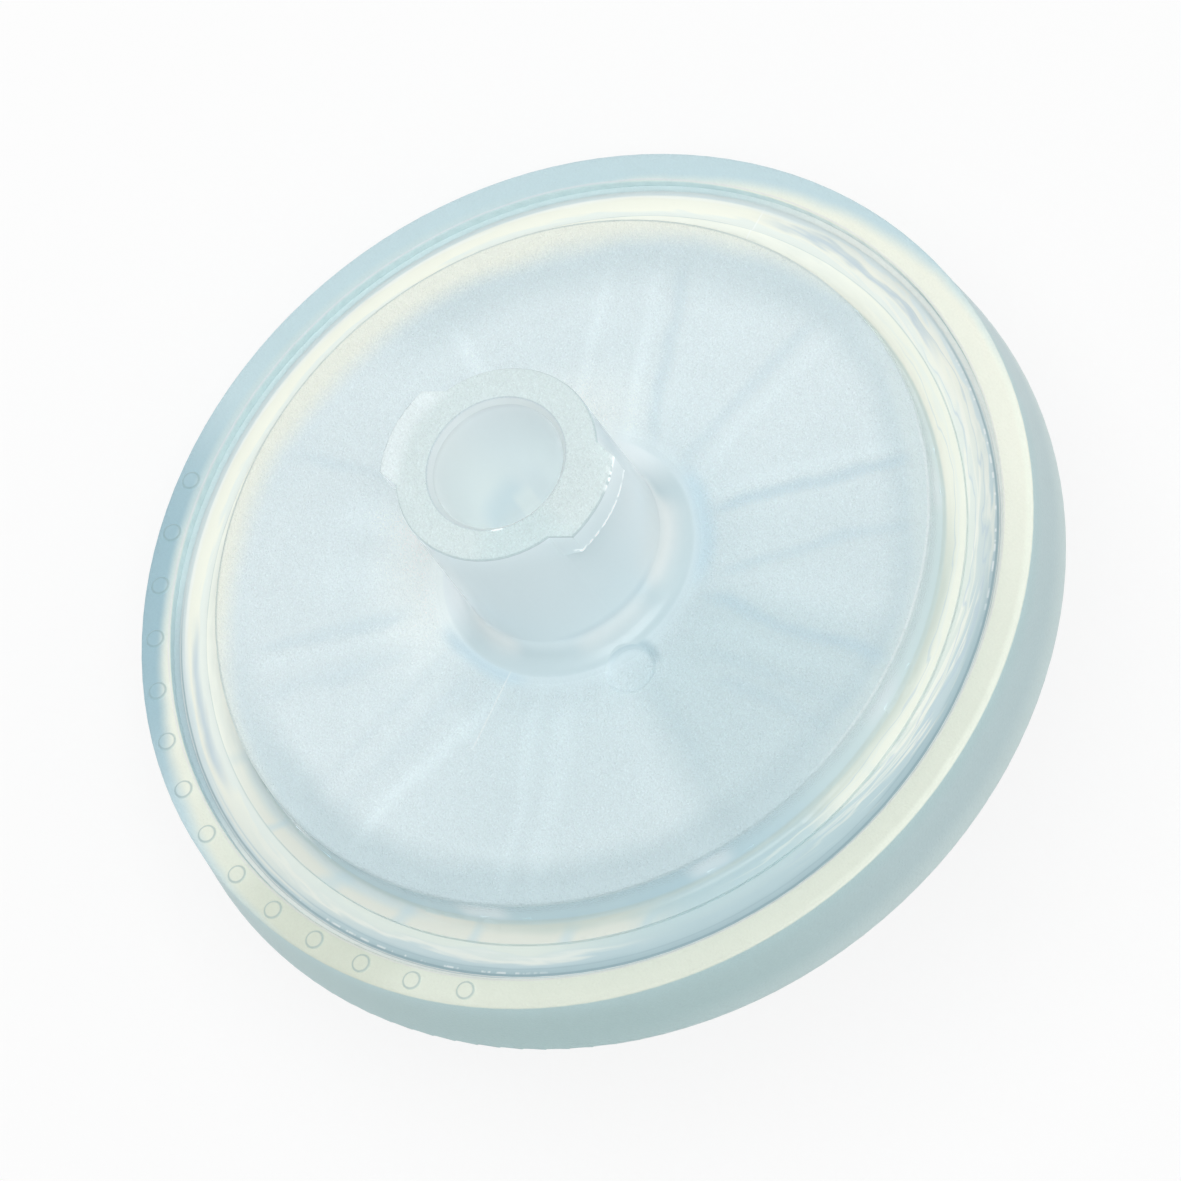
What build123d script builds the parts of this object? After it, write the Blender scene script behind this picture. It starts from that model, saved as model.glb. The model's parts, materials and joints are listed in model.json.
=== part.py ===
from build123d import *

import math
import os

# A 25 mm class membrane syringe filter, lying as it comes to rest: on the back edge of its ring
# and the end of its outlet tip, with the inlet hub up and leaning.
#
# Each sub-part is drawn about its own axis first: Z = 0 is the plane of the ring's front face and
# +Z points out of the inlet hub. At the end every sub-part is turned and moved together, so that
# Z = 0 becomes the surface that the filter lies on. Lengths are in millimetres, angles in degrees.
# Azimuths are counted from the side of the ring that is raised, anticlockwise seen from the inlet.

# Overmoulded ring
ring_front_radius = 15.0
ring_height = 3.0
ring_draft = 0.28
ring_face_width = 1.0
ring_step_width = 0.2
ring_step_depth = 0.35
ring_front_round = 0.08
ring_back_round = 0.3
ring_key_depth = 0.45
ring_key_height = 0.7

# Row of dots on the ring's front face
dot_count = 14
dot_pitch = 7.5
dot_middle_azimuth = -97.15
dot_radius = 0.33
dot_height = 0.05

# Flanges of the two housings, counted inwards from the ring
weld_land_width = 1.2
membrane_edge_gap = 0.05
clamp_width = 0.6

# Raised plateau of the inlet housing, and the groove between it and the ring
plateau_wall = 0.5
plateau_rise = 1.2
plateau_wall_draft = 0.12
plateau_edge_round = 0.1
plateau_foot_round = 0.25
groove_inner_depth = 0.12
groove_outer_width = 1.0
groove_ledge_height = 0.1

# Chamber above the membrane, and the ribs that hold the membrane off its ceiling
plate_thickness = 1.2
chamber_height = 1.05
flow_rib_count = 10
flow_rib_azimuth = 27.5
flow_rib_width = 1.7
flow_rib_inner_radius = 4.4
flow_rib_gap = 0.1

# Inlet hub: a socket with a 6 % taper, and two locking lugs
hub_radius = 3.33
hub_draft = 0.06
hub_rim_round = 0.08
hub_foot_round = 0.85
socket_mouth_radius = 2.15
socket_depth = 7.5
socket_floor_thickness = 0.4
socket_lead_width = 0.17
socket_lead_depth = 0.2
socket_taper = 0.06
inlet_hole_radius = 0.9
lug_reach = 0.57
lug_count = 2
lug_azimuth = 28.85
lug_outer_angle = 43.5
lug_root_angle = 61.5
lug_face_height = 1.05
lug_under_slope = 0.35

# Gate mark where the inlet housing was injected
gate_distance = 4.8
gate_azimuth = -7.5
gate_radius = 0.85
gate_depth = 0.12

# Membrane
membrane_thickness = 0.15

# Outlet housing
support_ridge_height = 0.4
support_ridge_pitch = 1.3
support_ridge_width = 0.5
support_ridge_first_radius = 2.2
drain_channel_count = 10
drain_channel_width = 1.0
outlet_hole_radius = 0.9
outlet_neck_length = 0.85
back_plateau_margin = 0.1
back_plateau_rise = 0.4
back_plateau_round = 0.15
boss_radius = 3.9
boss_height = 0.9
boss_foot_round = 0.5
boss_edge_round = 0.3
tip_end_radius = 1.95
tip_length = 7.5
tip_taper = 0.06
tip_foot_round = 0.3
tip_end_round = 0.12
tip_bore_radius = 1.05

# Worked out from the sizes above
ring_back = -ring_height
ring_back_radius = ring_front_radius + ring_draft
ring_face_inner_radius = ring_front_radius - ring_face_width
rim_radius = ring_face_inner_radius - ring_step_width
rim_front = -ring_step_depth
rim_back = ring_back + ring_step_depth
weld_land_radius = rim_radius - ring_key_depth
membrane_pocket_radius = weld_land_radius - weld_land_width
membrane_radius = membrane_pocket_radius - membrane_edge_gap
chamber_radius = membrane_radius - clamp_width
plateau_radius = chamber_radius + plateau_wall
groove_ledge_radius = rim_radius - groove_outer_width
plate_under = plateau_rise - plate_thickness
membrane_top = plate_under - chamber_height
socket_floor = plate_under + socket_floor_thickness
hub_top = socket_floor + socket_depth
lug_reach_radius = hub_radius + lug_reach
socket_floor_radius = socket_mouth_radius - socket_taper / 2 * socket_depth
membrane_under = membrane_top - membrane_thickness
drain_floor = membrane_under - support_ridge_height
back_plateau_radius = chamber_radius + back_plateau_margin
plate_back = rim_back - back_plateau_rise
boss_back = plate_back - boss_height
tip_end = boss_back - tip_length
tip_foot_radius = tip_end_radius + tip_taper / 2 * tip_length


def turned(*corners):
    """A solid turned about Z from (radius, height) corners. A third number rounds that corner."""
    profile = make_face(Polyline(*[(corner[0], corner[1]) for corner in corners], close=True))
    for corner in corners:
        if len(corner) == 3:
            nearest = profile.vertices().sort_by_distance((corner[0], corner[1]))[0]
            profile = fillet(nearest, corner[2])
    return revolve(Plane.XZ * profile, axis=Axis.Z)


def around(count, first_azimuth, shape, turn=360):
    """Copies of a shape about Z, spread over a turn, the first one at the given azimuth."""
    return [Rot(0, 0, first_azimuth + index * turn / count) * shape for index in range(count)]


def make_outer_ring():
    """The soft band moulded round the two housings, with a key that fills the notch between them."""
    key_middle = membrane_under
    band = turned(
        (rim_radius, rim_front),
        (ring_face_inner_radius, rim_front),
        (ring_face_inner_radius, 0, ring_front_round),
        (ring_front_radius, 0, ring_front_round),
        (ring_back_radius, ring_back, ring_back_round),
        (ring_face_inner_radius, ring_back, ring_front_round),
        (ring_face_inner_radius, rim_back),
        (rim_radius, rim_back),
        (rim_radius, key_middle - ring_key_height / 2),
        (weld_land_radius, key_middle),
        (rim_radius, key_middle + ring_key_height / 2),
    )
    dot_distance = ring_front_radius - ring_face_width / 2
    dot_sunk = dot_height
    first_dot = dot_middle_azimuth - dot_pitch * (dot_count - 1) / 2
    dot = Pos(dot_distance, 0, -dot_sunk) * Cone(
        dot_radius + dot_height,
        dot_radius - dot_height,
        dot_sunk + dot_height,
        align=(Align.CENTER, Align.CENTER, Align.MIN),
    )
    dots = around(dot_count, first_dot, dot, turn=dot_pitch * dot_count)
    return band + dots


def make_lugs():
    """The two locking lugs, each with sloping flanks and a sloping underside."""
    under_outer = hub_top - lug_face_height
    collar = turned(
        (socket_mouth_radius + socket_lead_width, hub_top),
        (lug_reach_radius, hub_top, hub_rim_round),
        (lug_reach_radius, under_outer, hub_rim_round),
        (hub_radius, under_outer - lug_under_slope),
        (socket_mouth_radius + socket_lead_width, under_outer - lug_under_slope),
    )
    root, outer = math.radians(lug_root_angle / 2), math.radians(lug_outer_angle / 2)
    beyond = 2 * lug_reach_radius
    half = [
        (hub_radius * math.cos(root), hub_radius * math.sin(root)),
        (lug_reach_radius * math.cos(outer), lug_reach_radius * math.sin(outer)),
        (beyond * math.cos(outer), beyond * math.sin(outer)),
    ]
    other_half = [(x, -y) for x, y in reversed(half)]
    wedge_outline = make_face(Polyline((0, 0), *half, *other_half, close=True))
    wedge = extrude(Plane.XY.offset(under_outer - lug_under_slope) * wedge_outline, hub_top)
    return around(lug_count, lug_azimuth, collar & wedge)


def make_inlet_housing():
    """The upper moulding: flange, raised plateau, flow ribs, hub with its socket, and lugs."""
    body = turned(
        (inlet_hole_radius, plate_under),
        (chamber_radius, plate_under),
        (chamber_radius, membrane_top),
        (membrane_pocket_radius, membrane_top),
        (membrane_pocket_radius, membrane_under),
        (weld_land_radius, membrane_under),
        (rim_radius, membrane_under + ring_key_height / 2),
        (rim_radius, rim_front),
        (groove_ledge_radius, -groove_inner_depth - groove_ledge_height),
        (groove_ledge_radius, -groove_inner_depth),
        (plateau_radius + plateau_wall_draft, -groove_inner_depth, plateau_foot_round),
        (plateau_radius, plateau_rise, plateau_edge_round),
        (hub_radius + hub_draft, plateau_rise, hub_foot_round),
        (hub_radius, hub_top, hub_rim_round),
        (socket_mouth_radius + socket_lead_width, hub_top),
        (socket_mouth_radius, hub_top - socket_lead_depth),
        (socket_floor_radius, socket_floor),
        (inlet_hole_radius, socket_floor),
    )
    wall_bite = (rim_radius - chamber_radius) / 4
    rib_length = chamber_radius + wall_bite - flow_rib_inner_radius
    rib_height = chamber_height - flow_rib_gap
    rib_root = plate_thickness / 4
    rib = Pos(flow_rib_inner_radius, 0, plate_under + rib_root) * Box(
        rib_length,
        flow_rib_width,
        rib_height + rib_root,
        align=(Align.MIN, Align.CENTER, Align.MAX),
    )
    gate = Rot(0, 0, gate_azimuth) * Pos(gate_distance, 0, plateau_rise - gate_depth) * Cone(
        gate_radius - gate_depth,
        gate_radius + gate_depth,
        2 * gate_depth,
        align=(Align.CENTER, Align.CENTER, Align.MIN),
    )
    return body + around(flow_rib_count, flow_rib_azimuth, rib) + make_lugs() - gate


def make_membrane():
    """The flat filter disc, clamped between the two flanges."""
    return turned(
        (0, membrane_under),
        (membrane_radius, membrane_under),
        (membrane_radius, membrane_top),
        (0, membrane_top),
    )


def make_support_ridges():
    """Concentric ridges that carry the membrane, split by the radial drain channels."""
    outermost = chamber_radius - support_ridge_pitch / 2
    ridge_count = int((outermost - support_ridge_first_radius) / support_ridge_pitch) + 1
    sunk = support_ridge_height / 2
    ridges = []
    for index in range(ridge_count):
        middle = support_ridge_first_radius + index * support_ridge_pitch
        inner, outer = middle - support_ridge_width / 2, middle + support_ridge_width / 2
        ridges.append(
            turned(
                (inner, drain_floor - sunk),
                (outer, drain_floor - sunk),
                (outer, membrane_under),
                (inner, membrane_under),
            )
        )
    channel = Pos(0, 0, drain_floor) * Box(
        chamber_radius,
        drain_channel_width,
        2 * support_ridge_height,
        align=(Align.MIN, Align.CENTER, Align.MIN),
    )
    return ridges, around(drain_channel_count, flow_rib_azimuth, channel)


def make_outlet_housing():
    """The lower moulding: flange, membrane support, back plateau, boss and male taper tip."""
    neck_start = drain_floor - outlet_neck_length
    body = turned(
        (outlet_hole_radius, drain_floor),
        (chamber_radius, drain_floor),
        (chamber_radius, membrane_under),
        (weld_land_radius, membrane_under),
        (rim_radius, membrane_under - ring_key_height / 2),
        (rim_radius, rim_back),
        (back_plateau_radius, rim_back),
        (back_plateau_radius, plate_back, back_plateau_round),
        (boss_radius, plate_back, boss_foot_round),
        (boss_radius, boss_back, boss_edge_round),
        (tip_foot_radius, boss_back, tip_foot_round),
        (tip_end_radius, tip_end, tip_end_round),
        (tip_bore_radius, tip_end),
        (tip_bore_radius, neck_start),
        (outlet_hole_radius, neck_start),
    )
    ridges, channels = make_support_ridges()
    return body + ridges - channels


def resting_tilt():
    """The angle that lays the ring's rounded back edge and the tip's rounded end on one plane."""
    side_angle = math.atan2(ring_draft, ring_height)
    ring_centre_height = ring_back + ring_back_round
    side_radius = ring_front_radius - ring_centre_height * ring_draft / ring_height
    ring_centre_radius = side_radius - ring_back_round / math.cos(side_angle)
    taper_angle = math.atan(tip_taper / 2)
    tip_centre_height = tip_end + tip_end_round
    cone_radius = tip_end_radius + tip_taper / 2 * tip_end_round
    tip_centre_radius = cone_radius - tip_end_round / math.cos(taper_angle)
    run = ring_centre_radius - tip_centre_radius
    drop = ring_centre_height - tip_centre_height
    lean = math.atan2(drop, run) + math.asin((tip_end_round - ring_back_round) / math.hypot(run, drop))
    return math.degrees(lean)


sub_parts = {
    "outer_ring": make_outer_ring(),
    "inlet_housing": make_inlet_housing(),
    "membrane": make_membrane(),
    "outlet_housing": make_outlet_housing(),
}

# The filter leans towards -X until it rests, and the middle of its box then stands at the origin
leaning = {name: Rot(0, -resting_tilt(), 0) * shape for name, shape in sub_parts.items()}
box = Compound(children=[Part() + shape for shape in leaning.values()]).bounding_box()
to_origin = Pos(-(box.min.X + box.max.X) / 2, -(box.min.Y + box.max.Y) / 2, -box.min.Z)

os.makedirs("parts", exist_ok=True)
for name, shape in leaning.items():
    export_step(to_origin * shape, f"parts/{name}.step")
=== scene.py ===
"""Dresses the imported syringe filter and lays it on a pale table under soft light.

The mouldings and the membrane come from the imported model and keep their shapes. This script gives
each its finish, and builds the table, the lamps and the camera. Lengths in the finishes are
millimetres in the filter's own frame: its Z axis runs out through the inlet hub from the plane of
the ring's front face, and its X axis points to the side of the ring that lies raised. An azimuth
is in degrees from that side, anticlockwise when seen from the inlet.
"""

import json
import logging
import math
from dataclasses import dataclass
from enum import Enum

import bmesh
import bpy
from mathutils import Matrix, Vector

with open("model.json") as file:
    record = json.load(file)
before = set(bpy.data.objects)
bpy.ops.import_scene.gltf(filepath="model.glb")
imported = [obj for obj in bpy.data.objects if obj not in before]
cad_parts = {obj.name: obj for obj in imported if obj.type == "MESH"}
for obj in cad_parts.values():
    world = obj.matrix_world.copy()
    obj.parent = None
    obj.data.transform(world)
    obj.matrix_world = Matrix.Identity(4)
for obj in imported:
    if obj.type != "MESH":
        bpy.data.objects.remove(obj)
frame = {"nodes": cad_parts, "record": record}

MILLIMETRE = 0.001
"""One millimetre in Blender's metres."""

HALF_TURN = 180.0
"""Degrees in half a turn."""

SCREEN_WHITE = 255
"""A screen's brightest level."""

Colour = tuple[float, float, float]
"""Red, green and blue as a screen shows them, each up to SCREEN_WHITE."""

Socket = bpy.types.NodeSocket
log = logging.getLogger("syringe_filter")


class Maths(Enum):
    """The sums that Math nodes do here."""

    ADD = "ADD"
    SUBTRACT = "SUBTRACT"
    MULTIPLY = "MULTIPLY"
    POWER = "POWER"
    SIZE = "ABSOLUTE"
    ANGLE = "ARCTAN2"
    LARGER = "MAXIMUM"
    SMALLER = "MINIMUM"
    WRAP = "WRAP"


class Ray(Enum):
    """The kinds of ray that see a white background."""

    CAMERA = "Is Camera Ray"
    GLOSSY = "Is Glossy Ray"
    TRANSMISSION = "Is Transmission Ray"


class Node(Enum):
    """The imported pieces."""

    OUTER_RING = "outer_ring"
    INLET_HOUSING = "inlet_housing"
    MEMBRANE = "membrane"
    OUTLET_HOUSING = "outlet_housing"


WHITE: Colour = (255, 255, 255)
BLACK: Colour = (0, 0, 0)


def linear(level: float) -> float:
    """Turns one channel of a colour into a shader's linear value, by the sRGB curve."""
    share = level / SCREEN_WHITE
    return share / 12.92 if share <= 0.04045 else ((share + 0.055) / 1.055) ** 2.4


class Signal:
    """A number that varies over a surface, held as the node socket that gives it."""

    def __init__(self, graph: "Graph", socket: Socket) -> None:
        """Keeps an output socket and the graph that it is in."""
        self.graph = graph
        self.socket = socket

    def __add__(self, other: "Signal | float") -> "Signal":
        """Sum."""
        return self.graph.maths(Maths.ADD, self, other)

    __radd__ = __add__

    def __sub__(self, other: "Signal | float") -> "Signal":
        """Difference."""
        return self.graph.maths(Maths.SUBTRACT, self, other)

    def __rsub__(self, other: float) -> "Signal":
        """A number less this one."""
        return self.graph.maths(Maths.SUBTRACT, other, self)

    def __mul__(self, other: "Signal | float") -> "Signal":
        """Product."""
        return self.graph.maths(Maths.MULTIPLY, self, other)

    __rmul__ = __mul__

    def __pow__(self, power: float) -> "Signal":
        """Power."""
        return self.graph.maths(Maths.POWER, self, power)

    def __abs__(self) -> "Signal":
        """Size without sign."""
        return self.graph.maths(Maths.SIZE, self)

    def at_least(self, other: "Signal | float") -> "Signal":
        """The larger of this and another number."""
        return self.graph.maths(Maths.LARGER, self, other)

    def at_most(self, other: "Signal | float") -> "Signal":
        """The smaller of this and another number."""
        return self.graph.maths(Maths.SMALLER, self, other)

    def wrap(self, half: float) -> "Signal":
        """Brings a number into the range from -half to half by whole turns of twice half."""
        return self.graph.maths(Maths.WRAP, self, half, -half)

    def rise(self, low: float, high: float, top: float = 1.0) -> "Signal":
        """A smooth step. With low above high, it falls.

        Args:
            low: Where the step is 0.
            high: Where the step reaches its top.
            top: How high it goes.

        Returns:
            The step, 0 to its top.
        """
        settings = {"interpolation_type": "SMOOTHSTEP"}
        values = {"Value": self, "From Min": low, "From Max": high, "To Min": 0.0, "To Max": top}
        node = self.graph.node("ShaderNodeMapRange", settings, values)
        return Signal(self.graph, node.outputs["Result"])

    def band(self, start: float, end: float, soft: float, top: float = 1.0) -> "Signal":
        """A smooth window from start to end, with edges as wide as soft says."""
        half = (end - start) / 2
        return abs(self - (start + half)).rise(half + soft / 2, half - soft / 2, top)

    def line(self, centre: float, width: float, top: float = 1.0) -> "Signal":
        """A soft line along a centre, 0 beyond half its width."""
        return abs(self - centre).rise(width / 2, 0.0, top)


class Graph:
    """A node graph, with the few ways of adding nodes that the finishes use."""

    def __init__(self, tree: bpy.types.NodeTree) -> None:
        """Empties the node tree of a material or a world and keeps it."""
        self.tree = tree
        self.tree.nodes.clear()

    def node(
        self,
        kind: str,
        settings: dict[str, object] | None = None,
        values: dict[str | int, object] | None = None,
    ) -> bpy.types.Node:
        """Adds a node, sets its options and then fills its sockets.

        Args:
            kind: The node's type.
            settings: The node's own options, set first.
            values: What each input takes: a number, a colour, a vector, a socket or a Signal.

        Returns:
            The node.
        """
        node = self.tree.nodes.new(kind)
        for option, choice in (settings or {}).items():
            setattr(node, option, choice)
        for key, value in (values or {}).items():
            entry = node.inputs[key]
            if isinstance(value, Signal):
                self.tree.links.new(value.socket, entry)
            elif isinstance(value, Socket):
                self.tree.links.new(value, entry)
            elif entry.type == "RGBA":
                entry.default_value = (*map(linear, value), 1.0)
            else:
                entry.default_value = value
        return node

    def maths(self, operation: Maths, *numbers: "Signal | float") -> Signal:
        """Adds one Math node, which works on the numbers in order."""
        node = self.node("ShaderNodeMath", {"operation": operation.value}, dict(enumerate(numbers)))
        return Signal(self, node.outputs[0])

    def mix(self, share: Signal, base: Colour | Socket, top: Colour | Socket) -> Socket:
        """Lays the top colour over the base, as much of it as the share says."""
        settings = {"data_type": "RGBA", "clamp_factor": True}
        return self.node("ShaderNodeMix", settings, {0: share, 6: base, 7: top}).outputs[2]

    def brighten(self, colour: Socket, amount: Signal) -> Socket:
        """Makes a colour lighter by an amount above 0 and darker by one below."""
        values = {0: colour, "Scale": amount + 1.0}
        return self.node("ShaderNodeVectorMath", {"operation": "SCALE"}, values).outputs[0]

    def vector(self, x: Signal, y: Signal, z: Signal | float) -> Socket:
        """Puts three numbers together as a vector."""
        return self.node("ShaderNodeCombineXYZ", None, {0: x, 1: y, 2: z}).outputs[0]

    def noise(
        self, place: Socket, scale: float = 1.0, detail: float = 2.0, roughness: float = 0.5
    ) -> Signal:
        """Cloudy noise that averages 0.

        Args:
            place: The coordinates that it varies over.
            scale: Cells to a unit of those coordinates.
            detail: Octaves of finer noise.
            roughness: How strong the finer noise is.

        Returns:
            The noise, about -0.5 to 0.5.
        """
        values = {"Vector": place, "Scale": scale, "Detail": detail, "Roughness": roughness}
        node = self.node("ShaderNodeTexNoise", {"noise_dimensions": "3D"}, values)
        return Signal(self, node.outputs[0]) - 0.5

    def bump(self, height: Signal, depth: float) -> Socket:
        """The normal, tilted by a height whose unit is a depth in millimetres."""
        values = {"Height": height, "Distance": depth * MILLIMETRE, "Strength": 1.0}
        return self.node("ShaderNodeBump", None, values).outputs[0]

    def seen_directly(self) -> Signal:
        """Tells the rays that see a white background from those that carry light.

        Returns:
            1 for the first and 0 for the others.
        """
        path = self.node("ShaderNodeLightPath")
        seen, *others = (Signal(self, path.outputs[ray.value]) for ray in Ray)
        for other in others:
            seen = seen.at_least(other)
        return seen


@dataclass(frozen=True)
class FilterPose:
    """Where the filter's own axes run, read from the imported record."""

    mouth: Vector
    axis: Vector
    hub_height: float = 7.9
    refraction: float = 1.49

    @classmethod
    def from_record(cls, record: dict) -> "FilterPose":
        """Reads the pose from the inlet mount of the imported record."""
        inlet = next(mount for mount in record["mounts"] if mount["name"] == "inlet")
        return cls(Vector(inlet["pos_m"]), Vector(inlet["axis"]).normalized())

    @property
    def level(self) -> Vector:
        """The filter's Y axis, which stays level."""
        return Vector((0.0, 1.0, 0.0))

    @property
    def uphill(self) -> Vector:
        """The filter's X axis, towards the raised side of the ring."""
        return self.level.cross(self.axis).normalized()

    @property
    def centre(self) -> Vector:
        """The middle of the ring's front face."""
        return self.mouth - self.axis * self.hub_height * MILLIMETRE

    @property
    def lean(self) -> float:
        """The angle between the filter's axis and the vertical, in radians."""
        return self.axis.angle(Vector((0.0, 0.0, 1.0)))

    def outward(self, azimuth: float) -> Vector:
        """The direction that leads out from the axis at an azimuth in degrees."""
        turn = math.radians(azimuth)
        return self.uphill * math.cos(turn) + self.level * math.sin(turn)

    def shift(self, depth: float, refracted: bool = False) -> float:
        """How far along X a thing shows that lies so deep, in air or in solid plastic."""
        bend = math.asin(math.sin(self.lean) / self.refraction) if refracted else self.lean
        return depth * math.tan(bend)


class Place:
    """Places on the filter as Signals: millimetres along its own axes, radius and azimuth."""

    def __init__(
        self, graph: Graph, pose: FilterPose, cloud_scale: float = 0.3, cloud_detail: float = 2.0
    ) -> None:
        """Adds the nodes that work the place out, and a slow noise over it.

        Args:
            graph: The material's graph.
            pose: The filter's pose.
            cloud_scale: Cells of the slow noise to a millimetre.
            cloud_detail: Octaves of finer noise in it.
        """
        self.graph = graph
        self.pose = pose
        row_place = graph.node("ShaderNodeTexCoord").outputs["Object"]
        offset = self.combine("SUBTRACT", row_place, pose.centre)
        self.offset = self.combine("SCALE", offset, 1.0 / MILLIMETRE)
        self.x = self.along(pose.uphill)
        self.y = self.along(pose.level)
        self.height = self.along(pose.axis)
        self.radius = self.distance_from(0.0)
        self.azimuth = graph.maths(Maths.ANGLE, self.y, self.x)
        self.vector = graph.vector(self.x, self.y, self.height)
        self.facing = self.combine("NORMALIZE", graph.vector(self.x, self.y, 0.0))
        self.cloud = graph.noise(self.vector, cloud_scale, cloud_detail)

    def combine(
        self, operation: str, first: Socket, second: Vector | float | None = None
    ) -> Socket:
        """Adds one Vector Math node that gives a vector.

        Args:
            operation: What it does.
            first: The vector that it works on.
            second: The other vector, or how many times larger the first one gets.

        Returns:
            The vector.
        """
        values = {0: first}
        if second is not None:
            values["Scale" if operation == "SCALE" else 1] = second
        return self.graph.node("ShaderNodeVectorMath", {"operation": operation}, values).outputs[0]

    def dot(self, vector: Socket, direction: Vector) -> Signal:
        """Measures how much of a vector runs along a fixed direction.

        Args:
            vector: The vector.
            direction: The direction, of length 1.

        Returns:
            The part along it.
        """
        values = {0: vector, 1: direction}
        node = self.graph.node("ShaderNodeVectorMath", {"operation": "DOT_PRODUCT"}, values)
        return Signal(self.graph, node.outputs["Value"])

    def along(self, direction: Vector) -> Signal:
        """How far a place is from the middle of the ring's face, along a direction."""
        return self.dot(self.offset, direction)

    def distance_from(self, x: float, y: float = 0.0) -> Signal:
        """Distance, in the plane of the disc, from a point on it."""
        aside, ahead = self.x - x, self.y - y
        return (aside * aside + ahead * ahead) ** 0.5

    def towards(self, azimuth: float) -> Signal:
        """How nearly a place faces an azimuth: 1 at it, 0 a quarter turn off, -1 opposite."""
        turn = math.radians(azimuth)
        return self.dot(self.facing, Vector((math.cos(turn), math.sin(turn), 0.0)))

    def beside(self, azimuth: float) -> Signal:
        """How far a place lies to the left of a ray that leaves the axis."""
        return self.along(self.pose.outward(azimuth + 90.0))

    def ahead(self, azimuth: float) -> Signal:
        """How far a place lies along a ray that leaves the axis."""
        return self.along(self.pose.outward(azimuth))

    def stretched(self, outward: float, round_about: float, slant: float = 0.0) -> Socket:
        """Coordinates in which noise makes streaks that run round the filter.

        Args:
            outward: Cells to a millimetre of radius.
            round_about: Cells to a radian round the axis.
            slant: Cells outward that a streak drifts in a radian.

        Returns:
            The coordinates.
        """
        x, y = self.towards(0.0) * round_about, self.towards(90.0) * round_about
        across = self.radius * outward
        if slant:
            across = across + self.azimuth * slant
        return self.graph.vector(across, x, y)


class Along(Enum):
    """What a shape on the surface is measured along."""

    RADIUS = "radius"
    HEIGHT = "height"

    def measure(self, at: Place, noise: Signal, wander: float) -> Signal:
        """The radius or the height of a place, made to stray by some noise."""
        place = at.height if self is Along.HEIGHT else at.radius
        return place + noise * wander if wander else place


HEIGHT = Along.HEIGHT


@dataclass(frozen=True)
class Sector:
    """A part of the way round: where its middle is, how far each side reaches and fades."""

    middle: float
    half: float
    fade: float
    top: float = 1.0

    def share(self, at: Place, _noise: Signal | None = None) -> Signal:
        """Its top in the sector and 0 outside it."""
        outer = math.cos(math.radians(min(self.half + self.fade, HALF_TURN)))
        return at.towards(self.middle).rise(outer, math.cos(math.radians(self.half)), self.top)


@dataclass(frozen=True)
class Step:
    """A smooth change from nothing at one place to a top at another."""

    low: float
    high: float
    top: float = 1.0
    wander: float = 0.0
    along: Along = Along.RADIUS

    def share(self, at: Place, noise: Signal) -> Signal:
        """The change, 0 to its top."""
        return self.along.measure(at, noise, self.wander).rise(self.low, self.high, self.top)


@dataclass(frozen=True)
class Line:
    """A soft line, strongest at its centre and gone beyond half its width."""

    centre: float
    width: float
    top: float = 1.0
    wander: float = 0.06
    along: Along = Along.RADIUS

    def share(self, at: Place, noise: Signal) -> Signal:
        """The line, 0 to its top."""
        return self.along.measure(at, noise, self.wander).line(self.centre, self.width, self.top)


@dataclass(frozen=True)
class KnitLine:
    """The hair line where two fronts of plastic met in the mould."""

    azimuth: float
    start: float
    end: float
    strength: float
    width: float = 0.09
    soft: float = 0.4

    def share(self, at: Place, _noise: Signal | None = None) -> Signal:
        """The line, 0 to its strength."""
        hair = at.beside(self.azimuth).line(0.0, self.width, self.strength)
        return hair * at.ahead(self.azimuth).band(self.start, self.end, self.soft)


class Tint:
    """A colour laid over a shape, or over the part that several shapes share."""

    def __init__(self, colour: Colour, *shapes: Sector | Step | Line | KnitLine) -> None:
        """Keeps the colour and the shapes that it is laid over."""
        self.colour = colour
        self.shapes = shapes

    def over(self, at: Place, colour: Colour | Socket, noise: Signal) -> Socket:
        """Lays the tint over a colour, and lets the noise make its shapes stray."""
        share, *others = (shape.share(at, noise) for shape in self.shapes)
        return at.graph.mix(math.prod(others, start=share), colour, self.colour)


Tints = tuple[Tint, ...]
Sectors = tuple[Sector, ...]


def together(at: Place, sectors: Sectors) -> Signal:
    """The shares of several sectors added up."""
    first, *others = (sector.share(at) for sector in sectors)
    return sum(others, first)


def paint(at: Place, colour: Colour | Socket, tints: Tints, noise: Signal | None = None) -> Socket:
    """Lays tints over a colour, one after another.

    Args:
        at: The place on the surface.
        colour: The colour underneath.
        tints: The tints, lowest first.
        noise: Noise that makes their shapes stray, or none for the slow noise.

    Returns:
        The colour with the tints on it.
    """
    for tint in tints:
        colour = tint.over(at, colour, noise or at.cloud)
    return colour


@dataclass(frozen=True)
class Edge:
    """One edge of a flow rib, lighter or darker than the plate round it."""

    offset: float
    width: float
    light: float


@dataclass(frozen=True)
class Rib:
    """A flow rib behind the plate, as the light through the plate shows it."""

    azimuth: float
    edges: tuple[Edge, ...]
    start: float = 4.5
    end: float = 11.0
    soft: float = 1.6

    def light_at(self, at: Place, shift: float, wander: Signal) -> Signal:
        """How much lighter or darker the rib makes the plate.

        Args:
            at: The place.
            shift: How far along the X axis the ribs show.
            wander: How far the edges stray from straight lines.

        Returns:
            The change of light.
        """
        turn = math.radians(self.azimuth)
        aside, ahead = -shift * math.sin(turn), shift * math.cos(turn)
        across = at.beside(self.azimuth) + wander
        along = at.ahead(self.azimuth).band(self.start + ahead, self.end + ahead, self.soft)
        lights = [across.line(edge.offset + aside, edge.width, edge.light) for edge in self.edges]
        return sum(lights[1:], lights[0]) * along


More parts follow.
